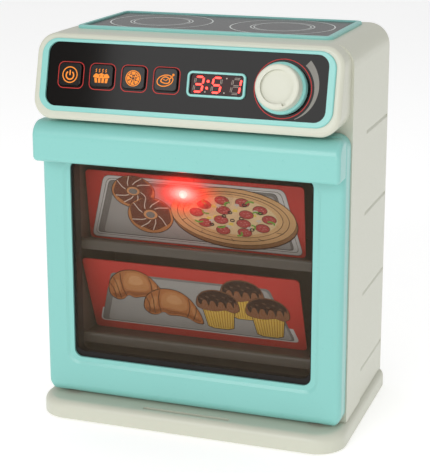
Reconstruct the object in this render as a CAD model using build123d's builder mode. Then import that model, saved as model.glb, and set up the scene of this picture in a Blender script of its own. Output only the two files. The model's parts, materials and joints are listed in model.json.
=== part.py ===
"""Tabletop toy oven with a hob: drop-down door, four push buttons, dial and food cards.

Frame: millimetres, X to the right as seen from the front, front faces -Y, +Z up,
origin at the middle of the footprint on the table.
"""
from build123d import *
import math
import os

os.makedirs("parts", exist_ok=True)

# ---- driving dimensions -------------------------------------------------------
BACK_Y = 64.5            # outside of the rear cover
BODY_DEPTH = 108.0       # rear cover to the face of the door
DOOR_Y = BACK_Y - BODY_DEPTH
BODY_HALF = 91.9         # casing, half width
CASE_TOP = 231.3
CASE_CORNER = 13.0       # big round shoulders of the casing
WALL = 2.4

FOOT_RISE = 1.0          # feet lift the plinth off the table
PLINTH_TOP = 11.5
PLINTH_HALF = 94.0
PLINTH_REACH = 12.5      # plinth in front of the door
PLINTH_FRONT_R = 18.0
PLINTH_REAR_R = 8.0

DOOR_HALF = 91.2
DOOR_THICK = 12.0
DOOR_BOTTOM = 12.2
DOOR_TOP = 182.0
DOOR_CORNER = 7.5
WINDOW_HALF = 73.5
WINDOW_LOW = 36.0
WINDOW_HIGH = 157.0
WINDOW_CORNER = 5.0
HINGE_Y = DOOR_Y + DOOR_THICK / 2
HINGE_Z = DOOR_BOTTOM + DOOR_THICK / 2
HINGE_X = 76.0
PIN_R = 1.5
RUN_GAP = 0.05           # radial play of a turning shaft
HANDLE_REACH = 12.5
HANDLE_LOW = 158.0
GRIP_WALL = 3.4

SHELL_Y = DOOR_Y + DOOR_THICK + 0.5
SEAM_Y = DOOR_Y + 46.0
CAVITY_HALF = 78.0
CAVITY_LOW = 31.0
CAVITY_HIGH = 160.0
CAVITY_BACK = DOOR_Y + 72.0
LINER_WALL = 1.8

HOOD_HALF = 90.3
HOOD_LOW = 183.5
HOOD_CORNER = 11.5
TILT = 15.0              # control face leans back
PANEL_Z = 208.0
PANEL_Y = DOOR_Y - 6.3

HOB_HALF = 76.8
HOB_FRONT = DOOR_Y + 21.2
HOB_BACK = DOOR_Y + 95.5
HOB_RIM = 3.0
HOB_RISE = 1.9

BUTTON_PITCH = 19.3
BUTTON_FIRST = -67.8
BUTTON_V = 1.1
BUTTON_W = 13.8
BUTTON_H = 13.0
BUTTON_GAP = 0.2
BUTTON_TRAVEL = 1.2
DISPLAY_U = 19.6
KNOB_U = 57.2
KNOB_R = 12.6

BATTERY_R = 7.25
BATTERY_LONG = 50.5
BAY_MID_Z = 57.0
BAY_PITCH = 15.6
BAY_HALF = 30.0
BAY_TALL = 48.0
BAY_DEEP = 17.0
BACK_WALL = 3.0

SCREW_X = 83.6
SCREW_LEVELS = (34.0, 196.0)
SHELF_LEVELS = (41.0, 100.0)

pieces = []


def keep(builder, name):
    """Name a finished piece and put it on the list of pieces to write."""
    builder.part.label = name
    pieces.append(builder.part)


def front_plane(y):
    """Sketch plane seen from the front at depth y; its normal faces the user."""
    return Plane(origin=(0, y, 0), x_dir=(1, 0, 0), z_dir=(0, -1, 0))


def control_plane(height=0.0):
    """Sketch plane of the leaning control face, raised along its own normal."""
    lean = math.radians(TILT)
    face = Plane(
        origin=(0, PANEL_Y, PANEL_Z),
        x_dir=(1, 0, 0),
        z_dir=(0, -math.cos(lean), math.sin(lean)),
    )
    return face.offset(height)


CONTROL_AXIS = Axis((0, PANEL_Y, PANEL_Z), tuple(control_plane().z_dir))


def casing_outline(half, low, high, corner):
    """Closed front outline of the casing: small feet corners, big round shoulders."""
    with Locations((0, (low + high) / 2)):
        outline = Rectangle(2 * half, high - low)
    fillet(outline.vertices().group_by(Axis.Y)[-1], corner)


def rounded_at(u, v, width, height, corner):
    """Rounded rectangle with its middle at (u, v) on the active sketch."""
    with Locations((u, v)):
        RectangleRounded(width, height, corner)


# ---- plinth and feet ----------------------------------------------------------
plinth_front = DOOR_Y - PLINTH_REACH
plinth_deep = BACK_Y - plinth_front
plinth_mid = (BACK_Y + plinth_front) / 2
foot_spots = [
    (sx * (PLINTH_HALF - 16), y)
    for sx in (-1, 1)
    for y in (plinth_front + 16, BACK_Y - 14)
]
FOOT_R = 5.5
SLOT_LONG = 54.0
SLOT_WIDE = 3.0
SLOT_DEEP = 3.0

with BuildPart() as plinth:
    with BuildSketch(Plane.XY.offset(FOOT_RISE)):
        with Locations((0, plinth_mid)):
            plan = Rectangle(2 * PLINTH_HALF, plinth_deep)
        fillet(plan.vertices().group_by(Axis.Y)[0], PLINTH_FRONT_R)
    extrude(amount=PLINTH_TOP - FOOT_RISE)
    rear_edges = plinth.edges().filter_by(Axis.Z).group_by(Axis.Y)[-1]
    fillet(rear_edges, PLINTH_REAR_R)
    fillet(plinth.faces().sort_by(Axis.Z)[-1].outer_wire().edges(), 4.5)
    # open tray inside the casing
    with BuildSketch(Plane.XY.offset(PLINTH_TOP)):
        with Locations((0, (SHELL_Y + BACK_Y) / 2)):
            Rectangle(2 * (BODY_HALF - WALL) - 10, BACK_Y - SHELL_Y - 14)
    extrude(amount=-(PLINTH_TOP - FOOT_RISE - 2.0), mode=Mode.SUBTRACT)
    # finger slot in the top of the ledge
    with BuildSketch(Plane.XY.offset(PLINTH_TOP)):
        with Locations((0, DOOR_Y - PLINTH_REACH * 0.45)):
            SlotOverall(SLOT_LONG, SLOT_WIDE)
    extrude(amount=-SLOT_DEEP, mode=Mode.SUBTRACT)
    with BuildSketch(Plane.XY.offset(FOOT_RISE)):
        with Locations(*foot_spots):
            Circle(FOOT_R)
    extrude(amount=1.0, mode=Mode.SUBTRACT)
keep(plinth, "base_plinth")

with BuildPart() as feet:
    with BuildSketch(Plane.XY):
        with Locations(*foot_spots):
            Circle(FOOT_R)
    extrude(amount=FOOT_RISE + 1.0)
keep(feet, "rubber_feet")

# ---- front shell --------------------------------------------------------------
CATCH_Z = 170.5
post_spots = [(sx * SCREW_X, z) for sx in (-1, 1) for z in SCREW_LEVELS]
POST_R = 3.6
POST_END = BACK_Y - 10.0
SCREW_R = 1.45
cavity_mid = (CAVITY_LOW + CAVITY_HIGH) / 2
cavity_tall = CAVITY_HIGH - CAVITY_LOW
EAR_HALF = 4.0
EAR_R = 3.2

with BuildPart() as front_shell:
    with BuildSketch(front_plane(SHELL_Y)):
        casing_outline(BODY_HALF, PLINTH_TOP, CASE_TOP, CASE_CORNER)
    extrude(amount=-(SEAM_Y - SHELL_Y))
    with BuildSketch(front_plane(SHELL_Y + WALL)):
        casing_outline(BODY_HALF - WALL, PLINTH_TOP, CASE_TOP - WALL, CASE_CORNER - WALL)
    extrude(amount=-(SEAM_Y - SHELL_Y), mode=Mode.SUBTRACT)
    # oven mouth, opening behind the controls, slot for the catch
    with BuildSketch(front_plane(SHELL_Y)):
        rounded_at(0, cavity_mid, 2 * CAVITY_HALF, cavity_tall, 4.0)
        rounded_at(0, PANEL_Z + 2, 2 * HOOD_HALF - 40, 26.0, 4.0)
        rounded_at(0, CATCH_Z, 16.0, 6.0, 1.5)
    extrude(amount=-WALL, mode=Mode.SUBTRACT)
    # long posts that take the rear screws
    with BuildSketch(front_plane(SHELL_Y + WALL)):
        with Locations(*post_spots):
            Circle(POST_R)
    extrude(amount=-(POST_END - SHELL_Y - WALL))
    with BuildSketch(front_plane(POST_END)):
        with Locations(*post_spots):
            Circle(SCREW_R)
    extrude(amount=16.0, mode=Mode.SUBTRACT)
    # two hinge ears reach forward into pockets of the door
    for side in (-1, 1):
        ear_plane = Plane.YZ.offset(side * HINGE_X - EAR_HALF)
        with BuildSketch(ear_plane):
            with Locations((HINGE_Y, HINGE_Z)):
                Circle(EAR_R)
            with Locations(((HINGE_Y + SHELL_Y) / 2, HINGE_Z)):
                Rectangle(SHELL_Y - HINGE_Y, 2 * EAR_R)
        extrude(amount=2 * EAR_HALF)
        with BuildSketch(ear_plane):
            with Locations((HINGE_Y, HINGE_Z)):
                Circle(PIN_R + RUN_GAP)
        extrude(amount=2 * EAR_HALF, mode=Mode.SUBTRACT)
keep(front_shell, "front_shell")

# ---- rear cover ---------------------------------------------------------------
ledge_levels = (30.0, 77.5, 126.5, 175.0)
LEDGE_DEEP = 1.1
LEDGE_HIGH = 3.2
SPEAKER_Z = 138.0
HEAD_R = 3.2
DOOR_PLATE = 1.8
bay_lid_half = BAY_HALF + 4.0
bay_lid_low = BAY_MID_Z - BAY_TALL / 2 - 3.0
bay_lid_high = BAY_MID_Z + BAY_TALL / 2 + 9.0
LID_SCREW_Z = bay_lid_high - 4.6

with BuildPart() as rear_cover:
    with BuildSketch(front_plane(SEAM_Y)):
        casing_outline(BODY_HALF - 0.5, PLINTH_TOP, CASE_TOP, CASE_CORNER)
    extrude(amount=-(BACK_Y - SEAM_Y))
    back_edges = rear_cover.faces().sort_by(Axis.Y)[-1].outer_wire().edges()
    fillet(back_edges.filter_by(Axis.X, reverse=True), 5.0)
    with BuildSketch(front_plane(SEAM_Y)):
        casing_outline(
            BODY_HALF - 0.5 - WALL, PLINTH_TOP, CASE_TOP - WALL, CASE_CORNER - WALL
        )
    extrude(amount=-(BACK_Y - SEAM_Y - BACK_WALL), mode=Mode.SUBTRACT)
    # moulded ledges along both sides
    for level in ledge_levels:
        for side in (-1, 1):
            with BuildSketch(front_plane(SEAM_Y)):
                with BuildLine():
                    outer = side * BODY_HALF
                    inner = side * (BODY_HALF - 0.5 - LEDGE_DEEP)
                    Polyline(
                        (outer, level - LEDGE_HIGH / 2),
                        (inner, level + LEDGE_HIGH / 2),
                        (outer, level + LEDGE_HIGH / 2),
                        close=True,
                    )
                make_face()
            extrude(amount=-(BACK_Y - SEAM_Y - 6.0), mode=Mode.SUBTRACT)
    # bosses for the rear screws
    with BuildSketch(front_plane(POST_END)):
        with Locations(*post_spots):
            Circle(POST_R + 1.2)
    extrude(amount=-(BACK_Y - BACK_WALL - POST_END))
    with BuildSketch(front_plane(POST_END)):
        with Locations(*post_spots):
            Circle(SCREW_R + 0.2)
    extrude(amount=-(BACK_Y - POST_END), mode=Mode.SUBTRACT)
    with BuildSketch(front_plane(BACK_Y)):
        with Locations(*post_spots):
            Circle(HEAD_R)
    extrude(amount=4.0, mode=Mode.SUBTRACT)
    # speaker grille
    with BuildSketch(front_plane(BACK_Y)):
        with Locations((0, SPEAKER_Z)):
            Circle(1.2)
            for ring in (1, 2, 3):
                with PolarLocations(4.6 * ring, 6 * ring):
                    Circle(1.2)
    extrude(amount=BACK_WALL, mode=Mode.SUBTRACT)
    # battery bay mouth, seat of its lid and the hole for the lid's screw
    with BuildSketch(front_plane(BACK_Y)):
        rounded_at(0, BAY_MID_Z, 2 * BAY_HALF, BAY_TALL, 1.0)
    extrude(amount=BACK_WALL, mode=Mode.SUBTRACT)
    with BuildSketch(front_plane(BACK_Y)):
        lid_tall = bay_lid_high - bay_lid_low
        rounded_at(0, bay_lid_low + lid_tall / 2, 2 * bay_lid_half, lid_tall, 1.0)
    extrude(amount=DOOR_PLATE + 0.2, mode=Mode.SUBTRACT)
    with BuildSketch(front_plane(BACK_Y)):
        with Locations((0, LID_SCREW_Z)):
            Circle(SCREW_R + 0.6)
    extrude(amount=BACK_WALL, mode=Mode.SUBTRACT)
keep(rear_cover, "rear_cover")

with BuildPart() as rear_screws:
    with BuildSketch(front_plane(BACK_Y - 4.0)):
        with Locations(*post_spots):
            Circle(HEAD_R - 0.4)
    extrude(amount=-1.8)
    with BuildSketch(front_plane(BACK_Y - 4.0)):
        with Locations(*post_spots):
            Circle(SCREW_R)
    extrude(amount=16.0)
    with BuildSketch(front_plane(BACK_Y - 2.2)):
        with Locations(*post_spots):
            Rectangle(3.4, 0.8)
            Rectangle(0.8, 3.4)
    extrude(amount=1.0, mode=Mode.SUBTRACT)
keep(rear_screws, "rear_screws")

# ---- control hood -------------------------------------------------------------
hood_mid = (HOOD_LOW + CASE_TOP) / 2
PANEL_W, PANEL_H, PANEL_V, PANEL_R = 164.6, 36.6, 1.0, 6.5
BEZEL_W, BEZEL_H, BEZEL_V, BEZEL_R = 172.4, 41.4, 0.6, 9.5
PANEL_THICK = 2.0
BEZEL_SEAT = 0.6
BEZEL_RISE = 1.4

with BuildPart() as hood:
    with BuildSketch(front_plane(SHELL_Y)):
        rounded_at(0, hood_mid, 2 * HOOD_HALF, CASE_TOP - HOOD_LOW, HOOD_CORNER)
    extrude(amount=40.0)
    split(bisect_by=control_plane(), keep=Keep.BOTTOM)
    fillet(hood.faces().sort_by(Axis.Y)[0].outer_wire().edges(), 2.4)
    # hollow from behind
    with BuildSketch(front_plane(SHELL_Y)):
        rounded_at(
            0,
            hood_mid,
            2 * (HOOD_HALF - WALL),
            CASE_TOP - HOOD_LOW - 2 * WALL,
            HOOD_CORNER - WALL,
        )
    hollow = extrude(amount=40.0, mode=Mode.PRIVATE)
    hollow = split(
        hollow, bisect_by=control_plane(-4.4), keep=Keep.BOTTOM, mode=Mode.PRIVATE
    )
    add(hollow, mode=Mode.SUBTRACT)
    # seats of the panel and of its bezel, with an open window behind them
    with BuildSketch(control_plane()):
        rounded_at(0, BEZEL_V, BEZEL_W, BEZEL_H, BEZEL_R)
    extrude(amount=-BEZEL_SEAT, mode=Mode.SUBTRACT)
    with BuildSketch(control_plane()):
        rounded_at(0, PANEL_V, PANEL_W, PANEL_H, PANEL_R)
    extrude(amount=-PANEL_THICK, mode=Mode.SUBTRACT)
    with BuildSketch(control_plane()):
        rounded_at(0, PANEL_V - 0.4, PANEL_W - 6, PANEL_H - 6, PANEL_R - 3)
    extrude(amount=-12.0, mode=Mode.SUBTRACT)
keep(hood, "control_hood")

with BuildPart() as bezel:
    with BuildSketch(control_plane(-BEZEL_SEAT)):
        rounded_at(0, BEZEL_V, BEZEL_W, BEZEL_H, BEZEL_R)
        with Locations((0, PANEL_V)):
            RectangleRounded(PANEL_W, PANEL_H, PANEL_R, mode=Mode.SUBTRACT)
    extrude(amount=BEZEL_SEAT + BEZEL_RISE)
    fillet(bezel.faces().sort_by(CONTROL_AXIS)[-1].outer_wire().edges(), 0.7)
keep(bezel, "control_bezel")

# ---- control panel, buttons and display ---------------------------------------
button_names = ("power", "cake", "pizza", "roast")
button_us = [BUTTON_FIRST + i * BUTTON_PITCH for i in range(len(button_names))]
DISPLAY_W, DISPLAY_H, DISPLAY_V = 34.0, 14.3, -0.2
DISPLAY_FRAME = 1.3
lens_w = DISPLAY_W - 2 * DISPLAY_FRAME
lens_h = DISPLAY_H - 2 * DISPLAY_FRAME
SHAFT_R = 3.0
BUTTON_R = 2.6
BUTTON_PROUD = 1.5
FLANGE = 1.1
FLANGE_THICK = 1.0

with BuildPart() as panel:
    with BuildSketch(control_plane(-PANEL_THICK)):
        rounded_at(0, PANEL_V, PANEL_W, PANEL_H, PANEL_R)
        for u in button_us:
            with Locations((u, BUTTON_V)):
                RectangleRounded(
                    BUTTON_W + 2 * BUTTON_GAP,
                    BUTTON_H + 2 * BUTTON_GAP,
                    BUTTON_R + BUTTON_GAP,
                    mode=Mode.SUBTRACT,
                )
        with Locations((DISPLAY_U, DISPLAY_V)):
            RectangleRounded(lens_w, lens_h, 0.8, mode=Mode.SUBTRACT)
        with Locations((KNOB_U, 0)):
            Circle(SHAFT_R + 0.6, mode=Mode.SUBTRACT)
    extrude(amount=PANEL_THICK)
keep(panel, "control_panel")

for name, u in zip(button_names, button_us):
    with BuildPart() as button:
        with BuildSketch(control_plane(-PANEL_THICK - 0.2)):
            rounded_at(u, BUTTON_V, BUTTON_W, BUTTON_H, BUTTON_R)
        extrude(amount=PANEL_THICK + 0.2 + BUTTON_PROUD)
        fillet(button.faces().sort_by(CONTROL_AXIS)[-1].edges(), 0.6)
        with BuildSketch(control_plane(-PANEL_THICK - 0.2)):
            rounded_at(
                u, BUTTON_V, BUTTON_W + 2 * FLANGE, BUTTON_H + 2 * FLANGE, BUTTON_R
            )
        extrude(amount=-FLANGE_THICK)
    keep(button, "button_" + name)

# rubber domes under the buttons
PAD_BACK = -6.0
PAD_THICK = 0.8
DOME_TOP = -PANEL_THICK - 0.2 - FLANGE_THICK - BUTTON_TRAVEL - 0.2
pad_mid = sum(button_us) / len(button_us)

with BuildPart() as keypad:
    with BuildSketch(control_plane(PAD_BACK)):
        rounded_at(pad_mid, BUTTON_V, 3 * BUTTON_PITCH + 17, 18.0, 2.0)
    extrude(amount=PAD_THICK)
    with BuildSketch(control_plane(PAD_BACK + PAD_THICK)):
        with Locations(*[(u, BUTTON_V) for u in button_us]):
            Circle(3.6)
    extrude(amount=DOME_TOP - PAD_BACK - PAD_THICK)
keep(keypad, "rubber_keypad")

BOARD_THICK = 1.4
with BuildPart() as board:
    with BuildSketch(control_plane(PAD_BACK - BOARD_THICK)):
        rounded_at(0, PANEL_V - 0.4, 154.0, 26.0, 1.5)
        with Locations((KNOB_U, 0)):
            Circle(SHAFT_R + 1.2, mode=Mode.SUBTRACT)
    extrude(amount=BOARD_THICK)
    # packages on its rear face
    with BuildSketch(control_plane(PAD_BACK - BOARD_THICK)):
        rounded_at(-20.0, 0, 12.0, 12.0, 0.4)
        rounded_at(12.0, 4.0, 9.0, 6.0, 0.4)
    extrude(amount=-1.6)
keep(board, "circuit_board")

with BuildPart() as encoder:
    with BuildSketch(control_plane(PAD_BACK)):
        rounded_at(KNOB_U, 0, 15.0, 15.0, 1.0)
        with Locations((KNOB_U, 0)):
            Circle(SHAFT_R + RUN_GAP, mode=Mode.SUBTRACT)
    extrude(amount=-PAD_BACK - PANEL_THICK - 0.6)
keep(encoder, "dial_encoder")

with BuildPart() as display_bezel:
    with BuildSketch(control_plane()):
        rounded_at(DISPLAY_U, DISPLAY_V, DISPLAY_W, DISPLAY_H, 3.0)
        with Locations((DISPLAY_U, DISPLAY_V)):
            RectangleRounded(lens_w, lens_h, 1.7, mode=Mode.SUBTRACT)
    extrude(amount=1.5)
    fillet(display_bezel.faces().sort_by(CONTROL_AXIS)[-1].outer_wire().edges(), 0.5)
keep(display_bezel, "display_bezel")

with BuildPart() as display_window:
    with BuildSketch(control_plane(-PANEL_THICK)):
        rounded_at(DISPLAY_U, DISPLAY_V, lens_w, lens_h, 0.8)
    extrude(amount=PANEL_THICK - 0.4)
keep(display_window, "display_window")

with BuildPart() as display_module:
    with BuildSketch(control_plane(PAD_BACK)):
        rounded_at(DISPLAY_U, DISPLAY_V, lens_w - 1, lens_h + 4, 0.6)
    extrude(amount=-PAD_BACK - PANEL_THICK - 0.1)
keep(display_module, "display_module")

# ---- dial ---------------------------------------------------------------------
KNOB_GAP = 0.5
SKIRT_R = 14.2
SKIRT_TOP = 5.4
KNOB_TOP = 12.0
DISH_R = 9.3
NOTCH_TURN = -63.0       # where the pointer notch stands at rest, degrees

with BuildPart() as knob_skirt:
    with BuildSketch(control_plane(KNOB_GAP)):
        with Locations((KNOB_U, 0)):
            Circle(SKIRT_R)
            Circle(SHAFT_R, mode=Mode.SUBTRACT)
    extrude(amount=SKIRT_TOP - KNOB_GAP)
    rim = knob_skirt.faces().sort_by(CONTROL_AXIS)[-1].outer_wire().edges()
    fillet(rim, 1.2)
keep(knob_skirt, "knob_skirt")

with BuildPart() as knob_cap:
    with BuildSketch(control_plane(SKIRT_TOP)):
        with Locations((KNOB_U, 0)):
            Circle(KNOB_R)
    extrude(amount=KNOB_TOP - SKIRT_TOP, taper=3)
    fillet(knob_cap.faces().sort_by(CONTROL_AXIS)[-1].edges(), 1.0)
    # dished grip and the pointer notch at its edge
    with BuildSketch(control_plane(KNOB_TOP)):
        with Locations((KNOB_U, 0)):
            Circle(DISH_R)
            with PolarLocations(DISH_R + 0.2, 1, start_angle=NOTCH_TURN):
                Rectangle(3.0, 2.2)
    extrude(amount=-1.8, mode=Mode.SUBTRACT)
    with BuildSketch(control_plane(SKIRT_TOP)):
        with Locations((KNOB_U, 0)):
            Circle(SHAFT_R)
    extrude(amount=2.6, mode=Mode.SUBTRACT)
keep(knob_cap, "knob_cap")

with BuildPart() as knob_shaft:
    with BuildSketch(control_plane(PAD_BACK + 0.2)):
        with Locations((KNOB_U, 0)):
            Circle(SHAFT_R)
    extrude(amount=SKIRT_TOP + 2.6 - PAD_BACK - 0.2)
keep(knob_shaft, "knob_shaft")

# ---- hob ----------------------------------------------------------------------
hob_mid = (HOB_FRONT + HOB_BACK) / 2
hob_deep = HOB_BACK - HOB_FRONT

with BuildPart() as hob_frame:
    with BuildSketch(Plane.XY.offset(CASE_TOP)):
        with Locations((0, hob_mid)):
            RectangleRounded(2 * HOB_HALF, hob_deep, 4.5)
            RectangleRounded(
                2 * (HOB_HALF - HOB_RIM), hob_deep - 2 * HOB_RIM, 2.0, mode=Mode.SUBTRACT
            )
    extrude(amount=HOB_RISE)
    fillet(hob_frame.faces().sort_by(Axis.Z)[-1].outer_wire().edges(), 0.9)
keep(hob_frame, "hob_frame")

with BuildPart() as hob_plate:
    with BuildSketch(Plane.XY.offset(CASE_TOP)):
        with Locations((0, hob_mid)):
            RectangleRounded(2 * (HOB_HALF - HOB_RIM), hob_deep - 2 * HOB_RIM, 2.0)
    extrude(amount=1.0)
keep(hob_plate, "hob_plate")

# ---- oven cavity --------------------------------------------------------------
liner_mid = (CAVITY_LOW + CAVITY_HIGH) / 2
liner_deep = CAVITY_BACK - SHELL_Y

with BuildPart() as liner:
    with BuildSketch(front_plane(SHELL_Y)):
        rounded_at(0, liner_mid, 2 * CAVITY_HALF, cavity_tall, 4.0)
    extrude(amount=-liner_deep)
    with BuildSketch(front_plane(SHELL_Y)):
        rounded_at(
            0, liner_mid, 2 * (CAVITY_HALF - LINER_WALL), cavity_tall - 2 * LINER_WALL, 2.4
        )
    extrude(amount=-(liner_deep - LINER_WALL), mode=Mode.SUBTRACT)
    # slots through the side walls that take the lugs of the shelves
    for level in SHELF_LEVELS:
        with BuildSketch(Plane.YZ.offset(-CAVITY_HALF)):
            with Locations((SHELL_Y + 28, level + 1.0)):
                Rectangle(20.0, 2.0)
        extrude(amount=2 * CAVITY_HALF, mode=Mode.SUBTRACT)
    with BuildSketch(front_plane(CAVITY_BACK)):
        with Locations((-12.0, 136.0)):
            Circle(3.4)
    extrude(amount=LINER_WALL, mode=Mode.SUBTRACT)
keep(liner, "oven_liner")

SHELF_THICK = 2.0
LIP_HIGH = 6.4
shelf_half = CAVITY_HALF - LINER_WALL
SHELF_FRONT = SHELL_Y + 1.0

for name, level in zip(("lower_shelf", "upper_shelf"), SHELF_LEVELS):
    with BuildPart() as shelf:
        with BuildSketch(Plane.YZ.offset(-shelf_half)):
            with BuildLine():
                Polyline(
                    (SHELF_FRONT, level),
                    (CAVITY_BACK - LINER_WALL, level),
                    (CAVITY_BACK - LINER_WALL, level + SHELF_THICK),
                    (SHELF_FRONT + 4.2, level + SHELF_THICK),
                    (SHELF_FRONT + 4.2, level + LIP_HIGH),
                    (SHELF_FRONT, level + LIP_HIGH),
                    close=True,
                )
            make_face()
        extrude(amount=2 * shelf_half)
        lip_edges = shelf.edges().filter_by(Axis.X).group_by(Axis.Z)[-1]
        fillet(lip_edges, 1.9)
        for side in (-1, 1):
            with BuildSketch(Plane.XY.offset(level)):
                with Locations((side * (shelf_half + LINER_WALL / 2), SHELL_Y + 28)):
                    Rectangle(LINER_WALL, 20.0)
            extrude(amount=SHELF_THICK)
    keep(shelf, name)

# printed cards lean forward behind the lips of the shelves
CARD_W, CARD_THICK = 136.0, 0.8
CARD_SHIFT = -6.5
card_feet = (DOOR_Y + 36.0, DOOR_Y + 30.0)
card_tall = (53.5, 44.3)
card_lean = (22.0, 8.0)
LED_X, LED_Z = -12.0, 136.0

for name, level, foot, tall, lean in zip(
    ("lower_food_card", "upper_food_card"), SHELF_LEVELS, card_feet, card_tall, card_lean
):
    tip = math.radians(lean)
    card_plane = Plane(
        origin=(CARD_SHIFT, foot, level + SHELF_THICK + 0.4),
        x_dir=(1, 0, 0),
        z_dir=(0, -math.cos(tip), -math.sin(tip)),
    )
    with BuildPart() as card:
        with BuildSketch(card_plane):
            rounded_at(0, tall / 2, CARD_W, tall, 2.5)
        extrude(amount=-CARD_THICK)
        if name == "upper_food_card":
            with BuildSketch(front_plane(SHELL_Y)):
                with Locations((LED_X, LED_Z)):
                    Circle(2.9)
            extrude(amount=-30.0, mode=Mode.SUBTRACT)
    keep(card, name)

# ---- cavity light -------------------------------------------------------------
led_rise = LED_Z - SHELF_LEVELS[1] - SHELF_THICK
led_face = card_feet[1] - led_rise * math.tan(math.radians(card_lean[1])) - 2.2
with BuildPart() as led_holder:
    with BuildSketch(front_plane(CAVITY_BACK + 3.0)):
        with Locations((LED_X, LED_Z)):
            Circle(3.4)
    extrude(amount=CAVITY_BACK + 3.0 - led_face - 4.4)
    with BuildSketch(front_plane(led_face + 4.4)):
        with Locations((LED_X, LED_Z)):
            Circle(2.5)
    extrude(amount=-2.0, mode=Mode.SUBTRACT)
keep(led_holder, "light_post")

with BuildPart() as led:
    with BuildSketch(front_plane(led_face + 6.4)):
        with Locations((LED_X, LED_Z)):
            Circle(2.5)
    extrude(amount=4.8)
    with Locations((LED_X, led_face + 1.6, LED_Z)):
        Sphere(2.5)
keep(led, "oven_light")

# ---- speaker ------------------------------------------------------------------
with BuildPart() as speaker:
    with BuildSketch(front_plane(BACK_Y - BACK_WALL)):
        with Locations((0, SPEAKER_Z)):
            Circle(18.0)
            Circle(15.5, mode=Mode.SUBTRACT)
    extrude(amount=4.0)
    with BuildSketch(front_plane(BACK_Y - BACK_WALL - 4.0)):
        with Locations((0, SPEAKER_Z)):
            Circle(18.0)
    extrude(amount=1.2)
    with BuildSketch(front_plane(BACK_Y - BACK_WALL - 5.2)):
        with Locations((0, SPEAKER_Z)):
            Circle(10.0)
    extrude(amount=4.0)
keep(speaker, "speaker")

# ---- batteries ----------------------------------------------------------------
BAY_WALL = 1.6
bay_y = BACK_Y - BACK_WALL
battery_y = bay_y - BAY_DEEP + BATTERY_R + 0.4
battery_zs = [BAY_MID_Z + (i - 1) * BAY_PITCH for i in range(3)]

with BuildPart() as battery_box:
    with BuildSketch(front_plane(bay_y)):
        rounded_at(0, BAY_MID_Z, 2 * (BAY_HALF + BAY_WALL), BAY_TALL + 2 * BAY_WALL, 1.5)
    extrude(amount=BAY_DEEP + BAY_WALL)
    with BuildSketch(front_plane(bay_y)):
        rounded_at(0, BAY_MID_Z, 2 * BAY_HALF, BAY_TALL, 1.0)
    extrude(amount=BAY_DEEP, mode=Mode.SUBTRACT)
keep(battery_box, "battery_box")

with BuildPart() as batteries:
    with BuildSketch(Plane.YZ.offset(-BATTERY_LONG / 2)):
        with Locations(*[(battery_y, z) for z in battery_zs]):
            Circle(BATTERY_R)
    extrude(amount=BATTERY_LONG - 1.0)
    for z, way in zip(battery_zs, (1, -1, 1)):
        tip_x = BATTERY_LONG / 2 - 1.0 if way > 0 else -BATTERY_LONG / 2
        with BuildSketch(Plane.YZ.offset(tip_x)):
            with Locations((battery_y, z)):
                Circle(2.6)
        extrude(amount=way * 1.0)
keep(batteries, "batteries")

with BuildPart() as contacts:
    for side in (-1, 1):
        for z in battery_zs:
            plate_x = side * (BAY_HALF - 0.3)
            with Locations((plate_x, battery_y, z)):
                Box(0.6, 11.0, 11.0)
            with Locations((side * (BAY_HALF - 1.8), battery_y, z)):
                Cylinder(3.0, 2.4, rotation=(0, 90, 0))
keep(contacts, "battery_contacts")

# ---- lid of the battery bay ---------------------------------------------------
lid_tall = bay_lid_high - bay_lid_low - 0.6
lid_mid = (bay_lid_high + bay_lid_low) / 2
LID_AXIS_Y = BACK_Y - DOOR_PLATE / 2
LID_AXIS_Z = lid_mid - lid_tall / 2 + DOOR_PLATE / 2

with BuildPart() as lid:
    with BuildSketch(front_plane(BACK_Y)):
        rounded_at(0, lid_mid, 2 * bay_lid_half - 0.6, lid_tall, 0.8)
    extrude(amount=DOOR_PLATE)
    low_edges = lid.edges().filter_by(Axis.X).group_by(Axis.Z)[0]
    fillet(low_edges, DOOR_PLATE / 2 - 0.05)
    with BuildSketch(front_plane(BACK_Y)):
        with Locations((0, LID_SCREW_Z)):
            Circle(2.7)
    extrude(amount=0.9, mode=Mode.SUBTRACT)
    with BuildSketch(front_plane(BACK_Y)):
        with Locations((0, LID_SCREW_Z)):
            Circle(SCREW_R)
        # finger grip
        with Locations(*[(0, lid_mid + 6 + 2.4 * i) for i in range(4)]):
            SlotOverall(16.0, 1.2)
    extrude(amount=0.5, mode=Mode.SUBTRACT)
    with BuildSketch(front_plane(BACK_Y)):
        with Locations((0, LID_SCREW_Z)):
            Circle(SCREW_R)
    extrude(amount=DOOR_PLATE, mode=Mode.SUBTRACT)
keep(lid, "battery_lid")

with BuildPart() as lid_screw:
    with BuildSketch(front_plane(BACK_Y - 0.1)):
        with Locations((0, LID_SCREW_Z)):
            Circle(2.6)
    extrude(amount=0.8)
    with BuildSketch(front_plane(BACK_Y - 0.9)):
        with Locations((0, LID_SCREW_Z)):
            Circle(SCREW_R)
    extrude(amount=5.0)
    with BuildSketch(front_plane(BACK_Y - 0.1)):
        with Locations((0, LID_SCREW_Z)):
            Rectangle(3.0, 0.6)
            Rectangle(0.6, 3.0)
    extrude(amount=0.5, mode=Mode.SUBTRACT)
keep(lid_screw, "battery_lid_screw")

# ---- door ---------------------------------------------------------------------
door_mid = (DOOR_BOTTOM + DOOR_TOP) / 2
window_mid = (WINDOW_LOW + WINDOW_HIGH) / 2
window_tall = WINDOW_HIGH - WINDOW_LOW
POCKET_SKIN = 2.3
PANE_THICK = 2.0
PANE_SET = 2.2
STRIKER = (12.0, 2.0)
LIP_R = 3.0              # lower front edge of the handle
CROWN_R = 9.0            # upper front edge of the handle
END_R = 2.6              # ends of the handle
DOOR_EDGE_R = 3.6        # upright front edges of the door

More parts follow.
